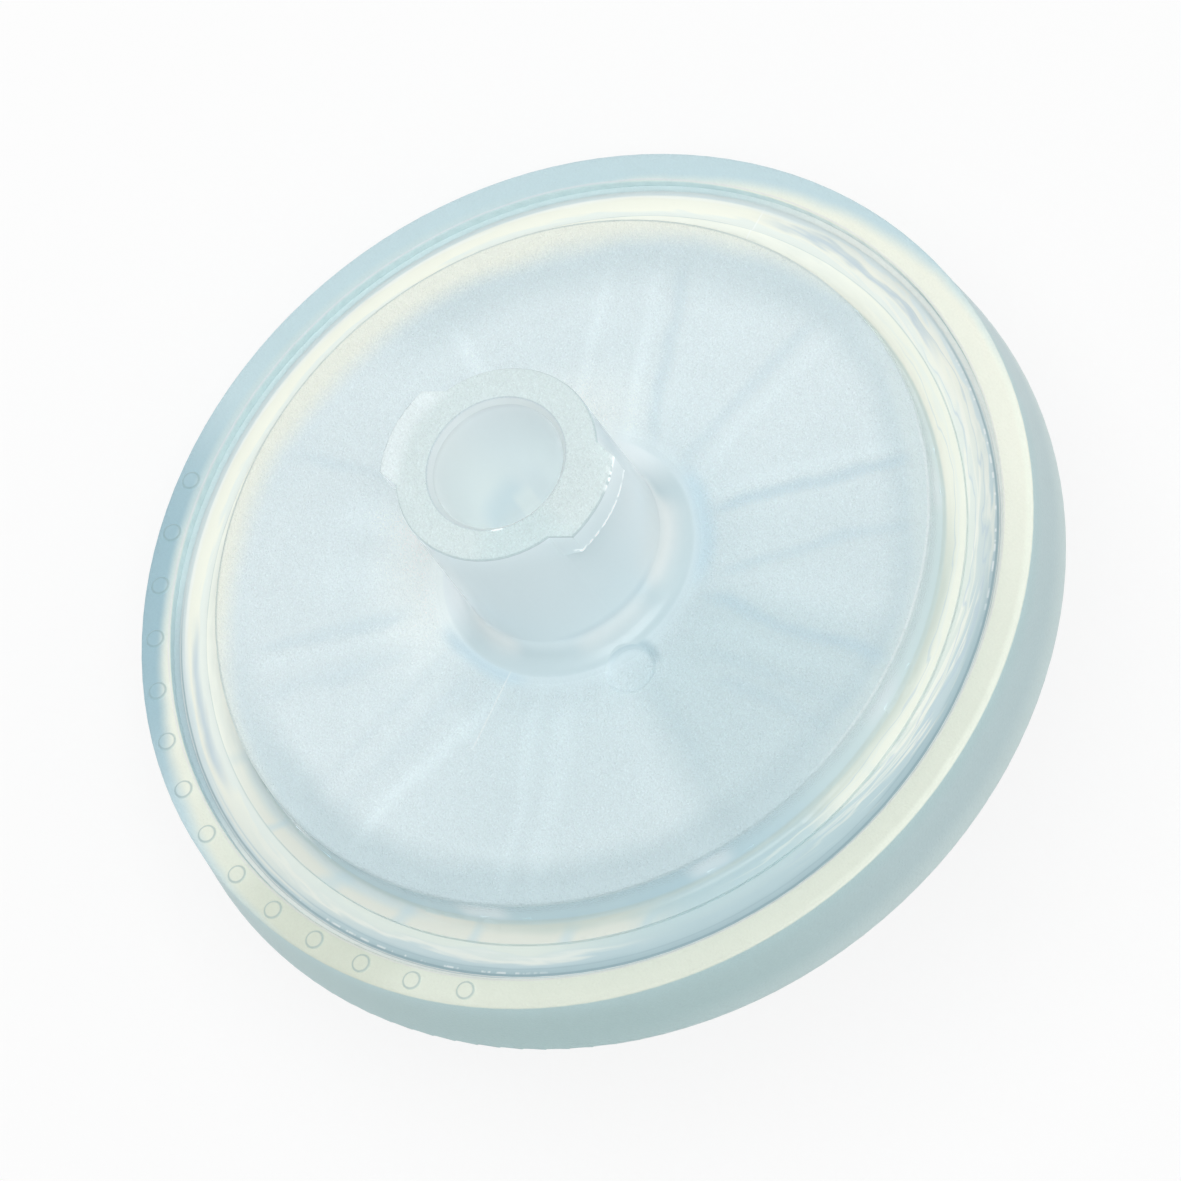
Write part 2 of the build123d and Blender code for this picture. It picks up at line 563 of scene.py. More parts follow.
class Shader(Graph):
    """The node graph of a new material."""

    def __init__(self, name: str) -> None:
        """Starts an empty material. A glow in it is faint, so it isn't sampled as a lamp.

        Args:
            name: The material's name.
        """
        self.material = bpy.data.materials.new(name)
        self.material.use_nodes = True
        self.material.cycles.emission_sampling = "NONE"
        super().__init__(self.material.node_tree)

    def surface(self, closure: Socket) -> bpy.types.Material:
        """Ends the graph in a closure and gives the finished material."""
        self.node("ShaderNodeOutputMaterial", None, {"Surface": closure})
        return self.material


@dataclass(frozen=True)
class Plastic:
    """How light goes into a moulding and comes off it."""

    roughness: float = 0.3
    grain_roughness: float = 0.0
    depth: float = 1.2
    weight: float = 0.5
    ior: float = 1.45
    gloss: float = 0.4

    def finish(
        self,
        shader: Shader,
        colour: Socket,
        normal: Socket,
        grained: Signal | None = None,
        glow: Socket | None = None,
    ) -> bpy.types.Material:
        """Ends a material's graph in a Principled shader.

        Args:
            shader: The material's graph.
            colour: The base colour.
            normal: The shading normal.
            grained: Where the mould was grained, 0 to 1.
            glow: Light that comes through a wall from behind.

        Returns:
            The finished material.
        """
        roughness = self.roughness
        if grained is not None:
            roughness = grained * self.grain_roughness + self.roughness
        values = {
            "Base Color": colour,
            "Roughness": roughness,
            "Normal": normal,
            "Subsurface Weight": self.weight,
            "Subsurface Radius": (1.0, 1.0, 1.0),
            "Subsurface Scale": self.depth * MILLIMETRE,
            "IOR": self.ior,
            "Specular IOR Level": self.gloss,
        }
        if glow is not None:
            values |= {"Emission Color": glow, "Emission Strength": 1.0}
        settings = {"subsurface_method": "BURLEY"}
        node = shader.node("ShaderNodeBsdfPrincipled", settings, values)
        return shader.surface(node.outputs[0])


class Moulding:
    """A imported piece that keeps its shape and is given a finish."""

    node: Node

    def dress(self, pose: FilterPose) -> None:
        """Puts the finish on the piece.

        Args:
            pose: The filter's pose.
        """
        slots = frame["nodes"][self.node.value].data.materials
        slots.clear()
        slots.append(self.material(pose))
        log.info("dressed %s", self.node.value)

    def material(self, pose: FilterPose) -> bpy.types.Material:
        """Builds the piece's material."""
        raise NotImplementedError


@dataclass(frozen=True)
class RingFinish:
    """The overmoulded band: cream where it is looked through, blue where light is lost in it."""

    cream: Colour = (239, 242, 229)
    shaded_cream: Colour = (222, 229, 216)
    deep_shaded_cream: Colour = (208, 215, 200)
    rim_highlight_cream: Colour = (243, 250, 237)
    blue: Colour = (194, 217, 223)
    shaded_blue: Colour = (160, 191, 202)
    inner_lit_blue: Colour = (203, 220, 221)
    side: Colour = (190, 212, 215)
    side_shade: Colour = (178, 206, 207)
    side_edge: Colour = (180, 208, 210)
    side_back: Colour = (204, 222, 222)
    near_step: Colour = (236, 240, 236)
    step_shade_spot: Colour = (190, 210, 216)
    far_step_shade: Colour = (212, 230, 233)
    step_glow: Colour = (84, 87, 88)
    lilac_highlight: Colour = (226, 224, 230)
    gap: Colour = (140, 170, 180)
    dot_edge: Colour = (142, 168, 172)
    back: Colour = (212, 225, 225)
    lit_step: Sector = Sector(-2, 34, 14)
    plastic: Plastic = Plastic(roughness=0.38)
    grain_scale: float = 12.0
    grain_light: float = 0.07
    cloud_light: float = 0.03
    relief: float = 0.02
    # The face: painted shade towards one side with a darker painted shade spot, and a painted
    # highlight along the outer edge on the near side.
    face_tints: Tints = (
        Tint(shaded_cream, Sector(-25, 45, 50)),
        Tint(deep_shaded_cream, Sector(-71, 3, 14, 0.8)),
        Tint(rim_highlight_cream, Sector(55, 30, 40, 0.6), Step(14.7, 14.9, wander=0.12)),
    )
    # Where the outer wall shows through: painted shade, darkest at one spot, and a painted
    # highlight near the inner edge.
    blue_tints: Tints = (
        Tint(shaded_blue, Sector(-128, 6, 26)),
        Tint(inner_lit_blue, Sector(-150, 20, 50, 0.8), Step(14.4, 14.1)),
    )
    # The outer wall: painted shade on one side, darker towards its top edge, and painted light
    # showing through towards the back edge on the other side.
    side_tints: Tints = (
        Tint(side_shade, Sector(-55, 15, 55)),
        Tint(side_edge, Step(-0.9, -0.2, 0.7, 0.4, HEIGHT)),
        Tint(side_back, Sector(50, 30, 60), Step(-1.6, -2.8, along=HEIGHT)),
    )
    # The step inside the band: painted shade on the far side and at one darker spot.
    step_tints: Tints = (
        Tint(far_step_shade, Sector(180, 50, 25)),
        Tint(step_shade_spot, Sector(-110, 6, 18)),
    )
    # A painted highlight along the band's inner edge, and thin dark lines of painted shade at the
    # step's edges.
    lines: Tints = (
        Tint(lilac_highlight, Line(14.05, 0.1, 0.45)),
        Tint(gap, Sector(0, 85, 25), Line(13.98, 0.06, 0.6)),
        Tint(gap, Sector(-15, 70, 25), Line(13.83, 0.06, 0.5)),
    )


@dataclass(frozen=True)
class OuterRing(Moulding):
    """The band that is moulded round the rims of the two housings and holds them together."""

    node: Node = Node.OUTER_RING
    finish: RingFinish = RingFinish()
    inner_radius: float = 14.0
    back_radius: float = 15.28
    height: float = 3.0
    wall_blur: float = 0.6
    wall_inset: float = 0.12
    dot_radius: float = 0.33
    dot_distance: float = 14.5
    dot_pitch: float = 7.5
    dot_middle: float = -97.15
    dot_count: int = 14
    dot_line: float = 0.12
    dot_strength: float = 0.6

    def material(self, pose: FilterPose) -> bpy.types.Material:
        """Builds the ring's material.

        Args:
            pose: The filter's pose.

        Returns:
            The material.
        """
        shader = Shader("ring_finish")
        at = Place(shader, pose, cloud_scale=0.6, cloud_detail=4.0)
        finish = self.finish
        grain = shader.noise(at.vector, finish.grain_scale, detail=1.0, roughness=0.6)
        side = paint(at, finish.side, finish.side_tints)
        colour = shader.mix(at.height.rise(-0.1, -0.02), side, self.face_colour(at))
        step = paint(at, finish.near_step, finish.step_tints)
        in_step = at.radius.rise(self.inner_radius + 0.02, self.inner_radius - 0.02)
        colour = shader.mix(in_step, colour, step)
        colour = paint(at, colour, finish.lines)
        colour = shader.mix(self.dot_outline(at), colour, finish.dot_edge)
        back = at.height.rise(0.2 - self.height, 0.05 - self.height)
        colour = shader.mix(back, colour, finish.back)
        light = grain * finish.grain_light + at.cloud * finish.cloud_light
        colour = shader.brighten(colour, light)
        # Painted light: the step glows faintly on its near side.
        glow = shader.mix(in_step * finish.lit_step.share(at), BLACK, finish.step_glow)
        normal = shader.bump(grain, finish.relief)
        return finish.plastic.finish(shader, colour, normal, glow=glow)

    def face_colour(self, at: Place) -> Socket:
        """The front face, with the band's outer wall seen through it on the far side.

        Args:
            at: The place.

        Returns:
            The colour.
        """
        finish = self.finish
        face = paint(at, finish.cream, finish.face_tints)
        wall = paint(at, finish.blue, finish.blue_tints)
        through = at.distance_from(at.pose.shift(self.height, refracted=True)) + at.cloud * 0.25
        edge = self.back_radius - self.wall_inset
        # Painted: past the outer wall's edge, as seen from above, the face turns blue for the light
        # lost in the band.
        return at.graph.mix(through.rise(edge - self.wall_blur, edge), face, wall)

    def dot_outline(self, at: Place) -> Signal:
        """A fine line round each moulded dot.

        Args:
            at: The place.

        Returns:
            The line, 0 to 1.
        """
        pitch = math.radians(self.dot_pitch)
        turn = (at.azimuth - math.radians(self.dot_middle)).wrap(math.pi)
        along = (turn + pitch / 2).wrap(pitch / 2) * self.dot_distance
        out = at.radius - self.dot_distance
        distance = (along * along + out * out) ** 0.5
        row = pitch * self.dot_count / 2
        edge = distance.line(self.dot_radius - 0.05, self.dot_line, self.dot_strength)
        return edge * abs(turn).rise(row, row - 0.01)


@dataclass(frozen=True)
class InletFinish:
    """The upper moulding: a grained plateau, a clear groove and a frosted hub."""

    plate: Colour = (227, 241, 245)
    plate_painted_light: Colour = (244, 254, 255)
    plate_shade: Colour = (206, 226, 231)
    plate_edge_shade: Colour = (192, 213, 219)
    plate_cream: Colour = (240, 245, 235)
    plate_foot_shade: Colour = (198, 216, 222)
    rib_shade: Colour = (193, 219, 231)
    gate_shade: Colour = (178, 202, 210)
    wall: Colour = (221, 239, 243)
    wall_shade: Colour = (199, 224, 233)
    wall_patch: Colour = (230, 243, 248)
    ledge_cream: Colour = (244, 247, 237)
    ledge_sand: Colour = (222, 225, 216)
    ledge_blue: Colour = (192, 215, 222)
    ledge_grey: Colour = (230, 236, 229)
    ledge_near_shade: Colour = (236, 239, 227)
    ledge_corner_shade: Colour = (194, 207, 200)
    groove_cream: Colour = (243, 245, 233)
    groove_grey: Colour = (232, 239, 234)
    groove_inner: Colour = (222, 231, 224)
    groove_outer: Colour = (198, 216, 220)
    groove_blue_shade: Colour = (186, 209, 214)
    rim_near_shade: Colour = (180, 203, 209)
    rim_far: Colour = (226, 238, 239)
    rim_far_highlight: Colour = (250, 254, 248)
    reflection_and_shade_blue: Colour = (190, 208, 219)
    reflection_pale: Colour = (240, 243, 234)
    line: Colour = (160, 184, 188)
    gap: Colour = (146, 176, 186)
    hub: Colour = (240, 251, 254)
    hub_shade: Colour = (229, 244, 248)
    hub_deep_shade: Colour = (200, 222, 231)
    hub_highlight: Colour = (238, 244, 243)
    hub_foot_shade: Colour = (199, 218, 223)
    hub_rim: Colour = (221, 236, 237)
    hub_rim_shade: Colour = (214, 233, 235)
    hub_lug: Colour = (233, 245, 247)
    glint: Colour = (252, 255, 254)
    bore: Colour = (230, 238, 239)
    bore_cool: Colour = (222, 232, 237)
    bore_mouth: Colour = (218, 229, 231)
    bore_line: Colour = (176, 196, 204)
    bore_glow: Colour = (75, 78, 78)
    bore_deep_glow: Colour = (110, 112, 110)
    groove_glow: Colour = (74, 75, 68)
    glint_glow: Colour = (170, 172, 172)
    near_side: Sector = Sector(-10, 35, 65)
    far_side: Sector = Sector(180, 45, 50)
    sandy_side: Sector = Sector(-45, 35, 35)
    ledge_shade_side: Sector = Sector(55, 28, 28)
    plate_shades: Sectors = (
        Sector(13, 15, 12, 0.5),
        Sector(0, 42, 45, 0.42),
    )
    edge_shades: Sectors = (
        Sector(-2, 90, 40, 0.42),
        Sector(-45, 30, 30, 0.25),
    )
    membrane_shade: Sector = Sector(138, 28, 25, 0.4)
    reflection_side: Sector = Sector(65, 45, 25, 0.75)
    dash_sides: Sectors = (Sector(62, 14, 10), Sector(-58, 12, 12))
    halo: Line = Line(1.8, 1.2, 1.0, 0.5, HEIGHT)
    mouth_glint: Sector = Sector(-32, 1, 5, 0.8)
    lug_glint: Sector = Sector(22, 30, 12)
    lug_top_glint: Sector = Sector(45, 6, 8)
    dash: Line = Line(13.68, 0.11, 0.65, 0.0)
    plastic: Plastic = Plastic(roughness=0.2, grain_roughness=0.2)
    grain_scale: float = 16.0
    grain_light: float = 0.25
    fleck_light: float = 0.06
    cloud_light: float = 0.08
    rib_depth: float = 6.0
    relief: float = 0.06
    # Painted light near the hub on the plateau's far side, and painted shade round the hub's foot
    # with two darker painted arcs.
    plate_tints: Tints = (
        Tint(plate_painted_light, Sector(-165, 55, 35), Step(7.5, 4.8)),
        Tint(plate_foot_shade, Sector(10, 70, 40, 0.6), Step(6.78, 3.68, wander=1.0)),
        Tint(rib_shade, Sector(-75, 12, 16), Line(4.45, 0.9, 0.6, 0.5)),
        Tint(rib_shade, Sector(62, 14, 18), Line(4.65, 1.1, 0.6, 0.5)),
    )
    # Near the plateau's edge: faint painted light through the plate, a dark line of painted shade
    # along the far edge, a painted highlight along the near edge, and a knit line.
    edge_tints: Tints = (
        Tint(plate_cream, Sector(50, 22, 25, 0.15), Step(11.3, 11.8, wander=1.0)),
        Tint(line, Sector(180, 50, 50), Line(11.95, 0.14, 0.5, 0.0)),
        Tint(glint, Sector(40, 12, 25), Line(11.95, 0.14, 0.25, 0.0)),
        Tint(glint, KnitLine(-60.0, 4.2, 7.0, 0.35)),
    )
    # The plateau's wall: painted shade on one side and at its foot.
    wall_tints: Tints = (
        Tint(wall_shade, Sector(-50, 25, 50)),
        Tint(ledge_corner_shade, Step(0.25, 0.02, 0.6, along=HEIGHT)),
    )
    # The rim: painted shade on the near side and a painted highlight along its inner edge on the
    # far side.
    groove_rim_tints: Tints = (
        Tint(rim_near_shade, near_side),
        Tint(rim_far_highlight, Sector(178, 50, 22), Step(13.66, 13.58)),
    )
    # The groove's near side, painted darker than its far side: painted shade, deepest at one spot.
    near_groove_tints: Tints = (
        Tint(groove_outer, Step(12.95, 13.3, wander=0.9)),
        Tint(groove_blue_shade, Sector(-8, 6, 28, 0.85)),
    )
    # Painted shade on the ledge at the foot of the plateau's wall, bluer on one side, and at one
    # spot.
    ledge_tints: Tints = (
        Tint(ledge_corner_shade, Sector(2, 40, 22, 0.75), Step(12.6, 12.2, wander=0.5)),
        Tint(ledge_blue, Sector(-82, 16, 12, 0.6), Step(12.6, 12.2, wander=0.5)),
        Tint(groove_blue_shade, Sector(-9, 5, 14, 0.9)),
    )
    # Streaks of painted reflection along the groove and ledge, one also a painted shadow; thin dark
    # lines of painted shade at the gaps and at the edges of the ledge and the plateau's wall; and a
    # knit line.
    groove_lines: Tints = (
        Tint(reflection_and_shade_blue, Sector(101, 9, 12), Line(13.3, 0.45, 0.8, 0.9)),
        Tint(reflection_pale, Sector(80, 25, 15), Line(13.55, 0.2, 0.7, 0.9)),
        Tint(reflection_and_shade_blue, Sector(-112, 6, 10), Line(13.22, 0.5, 0.8, 0.4)),
        Tint(reflection_pale, Sector(27, 4, 9), Line(12.97, 0.2, 0.5, 0.8)),
        Tint(reflection_pale, Sector(45, 30, 20), Line(13.12, 0.1, 0.6, 0.5)),
        Tint(reflection_and_shade_blue, Sector(60, 30, 20), Line(13.4, 0.08, 0.5, 0.8)),
        Tint(reflection_and_shade_blue, Sector(40, 35, 15), Line(13.0, 0.07, 0.5, 0.6)),
        Tint(reflection_pale, Sector(-88, 6, 10), Line(13.6, 0.18, 0.7, 0.2)),
        Tint(reflection_pale, Sector(-58, 18, 20), Line(13.22, 0.4, 0.7, 0.9)),
        Tint(gap, Sector(-20, 95, 20), Line(13.74, 0.1, 0.7)),
        Tint(gap, Sector(-35, 50, 25), Line(13.55, 0.08, 0.3)),
        Tint(line, Line(12.8, 0.08, 0.45)),
        Tint(ledge_grey, Sector(45, 40, 20), Line(12.56, 0.14, 0.7, 0.5)),
        Tint(reflection_and_shade_blue, Sector(40, 35, 20), Line(12.42, 0.08, 0.45, 0.6)),
        Tint(line, Sector(180, 75, 25), Line(12.1, 0.12, 0.5)),
        Tint(glint, KnitLine(120.0, 12.2, 13.6, 0.45)),
    )
    # The hub's wall: painted shade on one side and high up on another, a painted highlight low down
    # on one side, painted shade at its foot with a darker painted arc, and patches of painted
    # highlight round the foot.
    hub_tints: Tints = (
        Tint(hub_shade, Sector(-25, 35, 45)),
        Tint(hub_deep_shade, Sector(90, 12, 20, 0.5), Step(4.5, 6.5, along=HEIGHT)),
        Tint(hub_highlight, Sector(60, 12, 30, 0.6), Step(4.2, 2.4, along=HEIGHT)),
        Tint(hub_foot_shade, Sector(1, 80, 34), Step(1.95, 1.45, along=HEIGHT)),
        Tint(hub_deep_shade, Sector(2, 12, 28, 0.4), Line(2.1, 0.7, 1.0, 0.3, HEIGHT)),
        Tint(hub_highlight, Sector(53, 14, 18, 0.9), halo),
        Tint(hub_highlight, Sector(-4, 10, 16, 0.45), halo),
        Tint(hub_highlight, Sector(-76, 9, 14, 0.7), halo),
    )
    rim_tints: Tints = (
        Tint(hub_rim_shade, Sector(-18, 10, 25)),
        Tint(hub_lug, Sector(-151, 20, 22), Step(2.9, 3.5)),
    )
    # In the socket: a painted shade wedge and a painted highlight on one facet.
    bore_tints: Tints = (
        Tint(bore_cool, Sector(125, 30, 50, 0.6)),
        Tint(bore_cool, Sector(-170, 30, 20, 0.8), Step(4.2, 3.0, 1.0, 1.0, HEIGHT)),
        Tint(hub_deep_shade, Sector(-162, 8, 22, 0.5), Line(2.9, 3.2, 1.0, 0.0, HEIGHT)),
        Tint(hub_highlight, Sector(178, 5, 7, 0.5), Step(3.2, 2.4, along=HEIGHT)),
        Tint(bore_mouth, Step(7.66, 7.7, along=HEIGHT)),
        Tint(bore_line, Line(2.32, 0.12, 0.6, 0.0), Step(7.66, 7.7, along=HEIGHT)),
    )


@dataclass(frozen=True)
class InletHousing(Moulding):
    """The upper housing: the plateau with its groove and rim, and the hub that a syringe fits."""

    node: Node = Node.INLET_HOUSING
    finish: InletFinish = InletFinish()
    plateau_radius: float = 12.0
    plateau_height: float = 1.2
    ledge_radius: float = 12.8
    rim_radius: float = 13.6
    foot_radius: float = 4.18
    hub_height: float = 7.9
    mouth_radius: float = 2.32
    mouth_height: float = 7.7
    lug_height: float = 6.86
    lug_radius: float = 3.8
    membrane_radius: float = 12.1
    membrane_depth: float = 2.25
    rib_count: int = 10
    rib_azimuth: float = 27.5
    rib_shift: float = 0.9
    gate_distance: float = 4.8
    gate_azimuth: float = -7.5
    gate_radius: float = 0.85
    gate_width: float = 0.6
    gate_dark_side: tuple[float, float] = (-0.74, 0.67)
    patch_turn: float = 3.0
    ledge_gap_pitch: float = 13.0
    ledge_gap_width: float = 3.8
    dash_density: float = 42.0
    ribs: tuple[Rib, ...] = (
        Rib(63.5, (Edge(1.15, 0.9, -0.09), Edge(1.75, 0.8, 0.03), Edge(-1.2, 0.9, -0.05))),
        Rib(27.5, (Edge(0.75, 0.9, -0.08), Edge(-0.1, 1.0, 0.03), Edge(-0.95, 0.9, -0.03))),
        Rib(27.5, (Edge(-1.7, 0.9, -0.04), Edge(2.2, 2.4, 0.02)), 6.0),
        Rib(-8.5, (Edge(0.5, 1.6, -0.03), Edge(-0.9, 1.4, 0.015))),
        Rib(-44.5, (Edge(-0.5, 0.8, 0.04), Edge(0.6, 1.2, 0.04))),
        Rib(-80.5, (Edge(0.85, 1.0, 0.065), Edge(-0.3, 1.6, -0.03), Edge(-1.45, 1.2, -0.03))),
        Rib(-116.5, (Edge(0.1, 0.9, 0.03), Edge(-0.45, 1.0, -0.035), Edge(1.1, 1.4, -0.025)), 6.0),
        Rib(-116.5, (Edge(-2.2, 2.4, 0.03),), 5.5, 9.0),
        Rib(-152.5, (Edge(-0.7, 0.9, -0.035),), 8.0),
        Rib(-148.0, (Edge(0.0, 2.2, 0.08),), 4.5, 8.8),
        Rib(171.5, (Edge(0.0, 1.0, 0.07),), 8.2, 10.6),
        Rib(135.5, (Edge(-0.55, 0.8, 0.05), Edge(1.3, 0.9, 0.05), Edge(-1.35, 0.9, -0.05))),
        Rib(99.5, (Edge(0.3, 1.0, -0.035), Edge(-0.5, 1.0, 0.035))),
    )

    def material(self, pose: FilterPose) -> bpy.types.Material:
        """Builds the inlet housing's material.

        Args:
            pose: The filter's pose.

        Returns:
            The material.
        """
        shader = Shader("inlet_finish")
        at = Place(shader, pose)
        finish = self.finish
        grain = shader.noise(at.vector, finish.grain_scale, detail=1.0, roughness=0.7)
        top = at.height.rise(self.plateau_height - 0.22, self.plateau_height - 0.14)
        top = top * at.radius.rise(self.plateau_radius + 0.04, self.plateau_radius - 0.01)
        hub = at.height.rise(self.plateau_height - 0.01, self.plateau_height + 0.01)
        hub = hub * at.radius.rise(self.foot_radius + 0.1, self.foot_radius)
        rim = at.height.rise(self.hub_height - 0.06, self.hub_height - 0.02)
        groove = at.height.rise(0.02, -0.08)
        bore = at.radius.rise(self.mouth_radius + 0.02, self.mouth_radius - 0.02)
        bore = bore * at.height.rise(0.3, 0.4)
        glint = self.glints(at)
        colour = shader.mix(groove, self.wall_colour(at), self.groove_colour(at))
        colour = shader.mix(top, colour, self.plateau_colour(at, grain))
        colour = shader.mix(hub, colour, paint(at, finish.hub, finish.hub_tints))
        colour = shader.mix(rim, colour, paint(at, finish.hub_rim, finish.rim_tints))
        edge = at.height.band(self.hub_height - 0.1, self.hub_height - 0.015, 0.03, 0.5)
        colour = shader.mix(edge, colour, finish.line)
        colour = shader.mix(bore, colour, paint(at, finish.bore, finish.bore_tints))
        colour = shader.mix(glint, colour, finish.glint)
        outside = at.radius.rise(self.foot_radius - 0.1, self.foot_radius + 0.8)
        grained = (top * outside + rim).at_most(1.0)
        speckle = grain * finish.grain_light + grain.rise(0.12, 0.3, finish.fleck_light)
        smooth = at.radius.rise(11.8, 10.8, 0.5) + 0.5
        colour = shader.brighten(colour, speckle * (grained * 0.9 + 0.1) * smooth)
        glow = self.glow(at, groove, bore, glint)
        relief = outside * at.height.rise(0.4, 1.0)
        relief = relief * at.height.rise(self.hub_height - 0.3, self.hub_height - 0.9)
        relief = relief + at.height.rise(self.hub_height - 0.04, self.hub_height - 0.01)
        normal = shader.bump(grain * relief.at_most(1.0), finish.relief)
        return finish.plastic.finish(shader, colour, normal, grained, glow)

    def glow(self, at: Place, groove: Signal, bore: Signal, glint: Signal) -> Socket:
        """The faint light that comes through the walls, and the glints.

        Args:
            at: The place.
            groove: Where the groove is, 0 to 1.
            bore: Where the socket is, 0 to 1.
            glint: Where the glints are, 0 to 1.

        Returns:
            The light.
        """
        finish, mix = self.finish, at.graph.mix
        floor = at.radius.band(self.ledge_radius + 0.1, self.rim_radius - 0.05, 0.3)
        glow = mix(floor * (groove * finish.far_side.share(at)), BLACK, finish.groove_glow)
        inside = mix(at.height.rise(8.0, 2.0), finish.bore_glow, finish.bore_deep_glow)
        below = at.height.rise(self.mouth_height + 0.05, self.mouth_height - 0.3)
        glow = mix(bore * below, glow, inside)
        return mix(glint, glow, finish.glint_glow)

    def glints(self, at: Place) -> Signal:
        """The bright broken edges of the near lug and of the socket's mouth.

        Args:
            at: The place.

        Returns:
            The glints, 0 to 1.
        """
        finish = self.finish
        lug = at.radius.rise(self.lug_radius - 0.18, self.lug_radius)
        broken = at.graph.noise(at.vector, 7.0, detail=0.0).rise(-0.25, 0.15, 0.85)
        lower = at.height.line(self.lug_height, 0.34) * finish.lug_glint.share(at)
        upper = at.height.line(self.hub_height - 0.06, 0.16) * finish.lug_top_glint.share(at)
        mouth = at.radius.line(self.mouth_radius, 0.12) * finish.mouth_glint.share(at)
        mouth = mouth * at.height.rise(self.mouth_height, self.mouth_height + 0.05)
        return ((lower + upper) * lug * broken + mouth).at_most(1.0)

    def plateau_colour(self, at: Place, grain: Signal) -> Socket:
        """The grained top, with the membrane's edge and the flow ribs seen through it.

        Args:
            at: The place.
            grain: The mould's fine grain.

        Returns:
            The colour.
        """
        finish, mix = self.finish, at.graph.mix
        shaded = together(at, finish.plate_shades) * at.radius.rise(3.0, 6.0)
        colour = mix(shaded, finish.plate, finish.plate_shade)
        colour = paint(at, colour, finish.plate_tints)
        # Painted shade along the plateau's edge on the near side.
        edge = together(at, finish.edge_shades) * (at.radius + at.cloud).rise(10.3, 11.4)
        colour = mix(edge, colour, finish.plate_edge_shade)
        light = at.cloud * finish.cloud_light + 0.01
        ripple = at.cloud + grain * 0.3
        for rib in self.ribs:
            light = light + rib.light_at(at, self.rib_shift, ripple)
        colour = at.graph.brighten(colour, light.at_least(0.0))
        colour = mix(light * -finish.rib_depth, colour, finish.rib_shade)
        colour = mix(self.gate_crescent(at), colour, finish.gate_shade)
        through = at.distance_from(at.pose.shift(self.membrane_depth))
        through = through + at.cloud * 0.8 + grain * 0.3
        # Painted shade just inside the membrane's edge on one side.
        inside = through.rise(self.membrane_radius - 2.0, self.membrane_radius - 0.4)
        colour = mix(inside * finish.membrane_shade.share(at), colour, finish.plate_edge_shade)
        # Past the membrane's edge, as seen from above, the plate is painted cream for the light
        # that shows through.
        beyond = through.rise(self.membrane_radius - 0.25, self.membrane_radius + 0.85)
        colour = mix(beyond, colour, finish.plate_cream)
        return paint(at, colour, finish.edge_tints)

    def gate_crescent(self, at: Place) -> Signal:
        """The shaded crescent along one edge of the gate mark.

        Args:
            at: The place.

        Returns:
            The crescent, 0 to 1.
        """
        turn = math.radians(self.gate_azimuth)
        x, y = self.gate_distance * math.cos(turn), self.gate_distance * math.sin(turn)
        ring = at.distance_from(x, y).line(self.gate_radius + 0.04, self.gate_width, 0.8)
        dark_x, dark_y = self.gate_dark_side
        side = (at.x - x) * dark_x + (at.y - y) * dark_y
        return ring * side.rise(0.0, self.gate_width)

    def wall_colour(self, at: Place) -> Socket:
        """The plateau's wall, with a paler patch where each rib ends behind it.

        Args:
            at: The place.

        Returns:
            The colour.
        """
        finish = self.finish
        colour = paint(at, finish.wall, finish.wall_tints)
        half_pitch = math.pi / self.rib_count
        turn = (at.azimuth - math.radians(self.rib_azimuth - self.patch_turn)).wrap(half_pitch)
        across = abs(turn * self.plateau_radius + at.cloud)
        patch = across.rise(1.15, 0.35, 0.9) * at.height.band(0.2, 0.95, 0.5)
        return at.graph.mix(patch, colour, finish.wall_patch)

    def groove_colour(self, at: Place) -> Socket:
        """The clear groove with its rim and ledge, with painted reflections streaked along them.

        Args:
            at: The place.

        Returns:
            The colour.
        """
        finish, mix, noise = self.finish, at.graph.mix, at.graph.noise
        near = finish.near_side.share(at)
        streak = noise(at.stretched(3.0, 5.0, -2.5), detail=2.0, roughness=0.6)
        drift = (at.radius + streak * 0.9).rise(13.18, 13.0)
        groove = mix(drift, finish.groove_cream, finish.groove_grey)
        # Painted shade on the groove's near side.
        near_groove = paint(at, finish.groove_inner, finish.near_groove_tints, streak)
        groove = mix(near, groove, near_groove)
        # Pale streaks of painted reflection on one side.
        pale = noise(at.stretched(7.0, 4.0, -7.0), detail=1.0).rise(0.02, 0.12)
        groove = mix(pale * finish.reflection_side.share(at), groove, finish.reflection_pale)
        rim = paint(at, finish.rim_far, finish.groove_rim_tints)
        on_rim = (at.radius + streak * 0.3).rise(self.rim_radius - 0.16, self.rim_radius + 0.02)
        colour = mix(on_rim, groove, rim)
        on_ledge = at.radius.rise(self.ledge_radius + 0.03, self.ledge_radius - 0.03)
        colour = mix(on_ledge, colour, self.ledge_colour(at, streak))
        colour = paint(at, colour, finish.groove_lines, streak)
        return mix(self.dashes(at), colour, finish.glint)

    def ledge_colour(self, at: Place, streak: Signal) -> Socket:
        """The ledge inside the groove: cream, sandy on the near side, with soft bluish gaps.

        Args:
            at: The place.
            streak: The groove's streaks.

        Returns:
            The colour.
        """
        finish, mix = self.finish, at.graph.mix
        colour = mix(streak.rise(-0.1, 0.2, 0.5), finish.ledge_cream, finish.ledge_grey)
        sandy = finish.sandy_side.share(at)
        colour = mix(sandy, colour, finish.ledge_sand)
        # Painted shade over the ledge on one side.
        colour = mix(finish.ledge_shade_side.share(at), colour, finish.ledge_near_shade)
        turn = at.azimuth + at.cloud * 0.25 + at.radius * 0.05
        away = abs(turn.wrap(math.radians(self.ledge_gap_pitch / 2)))
        gaps = away.rise(math.radians(self.ledge_gap_width / 2), 0.0, 0.5)
        colour = mix(gaps * sandy, colour, finish.ledge_blue)
        return paint(at, colour, finish.ledge_tints)

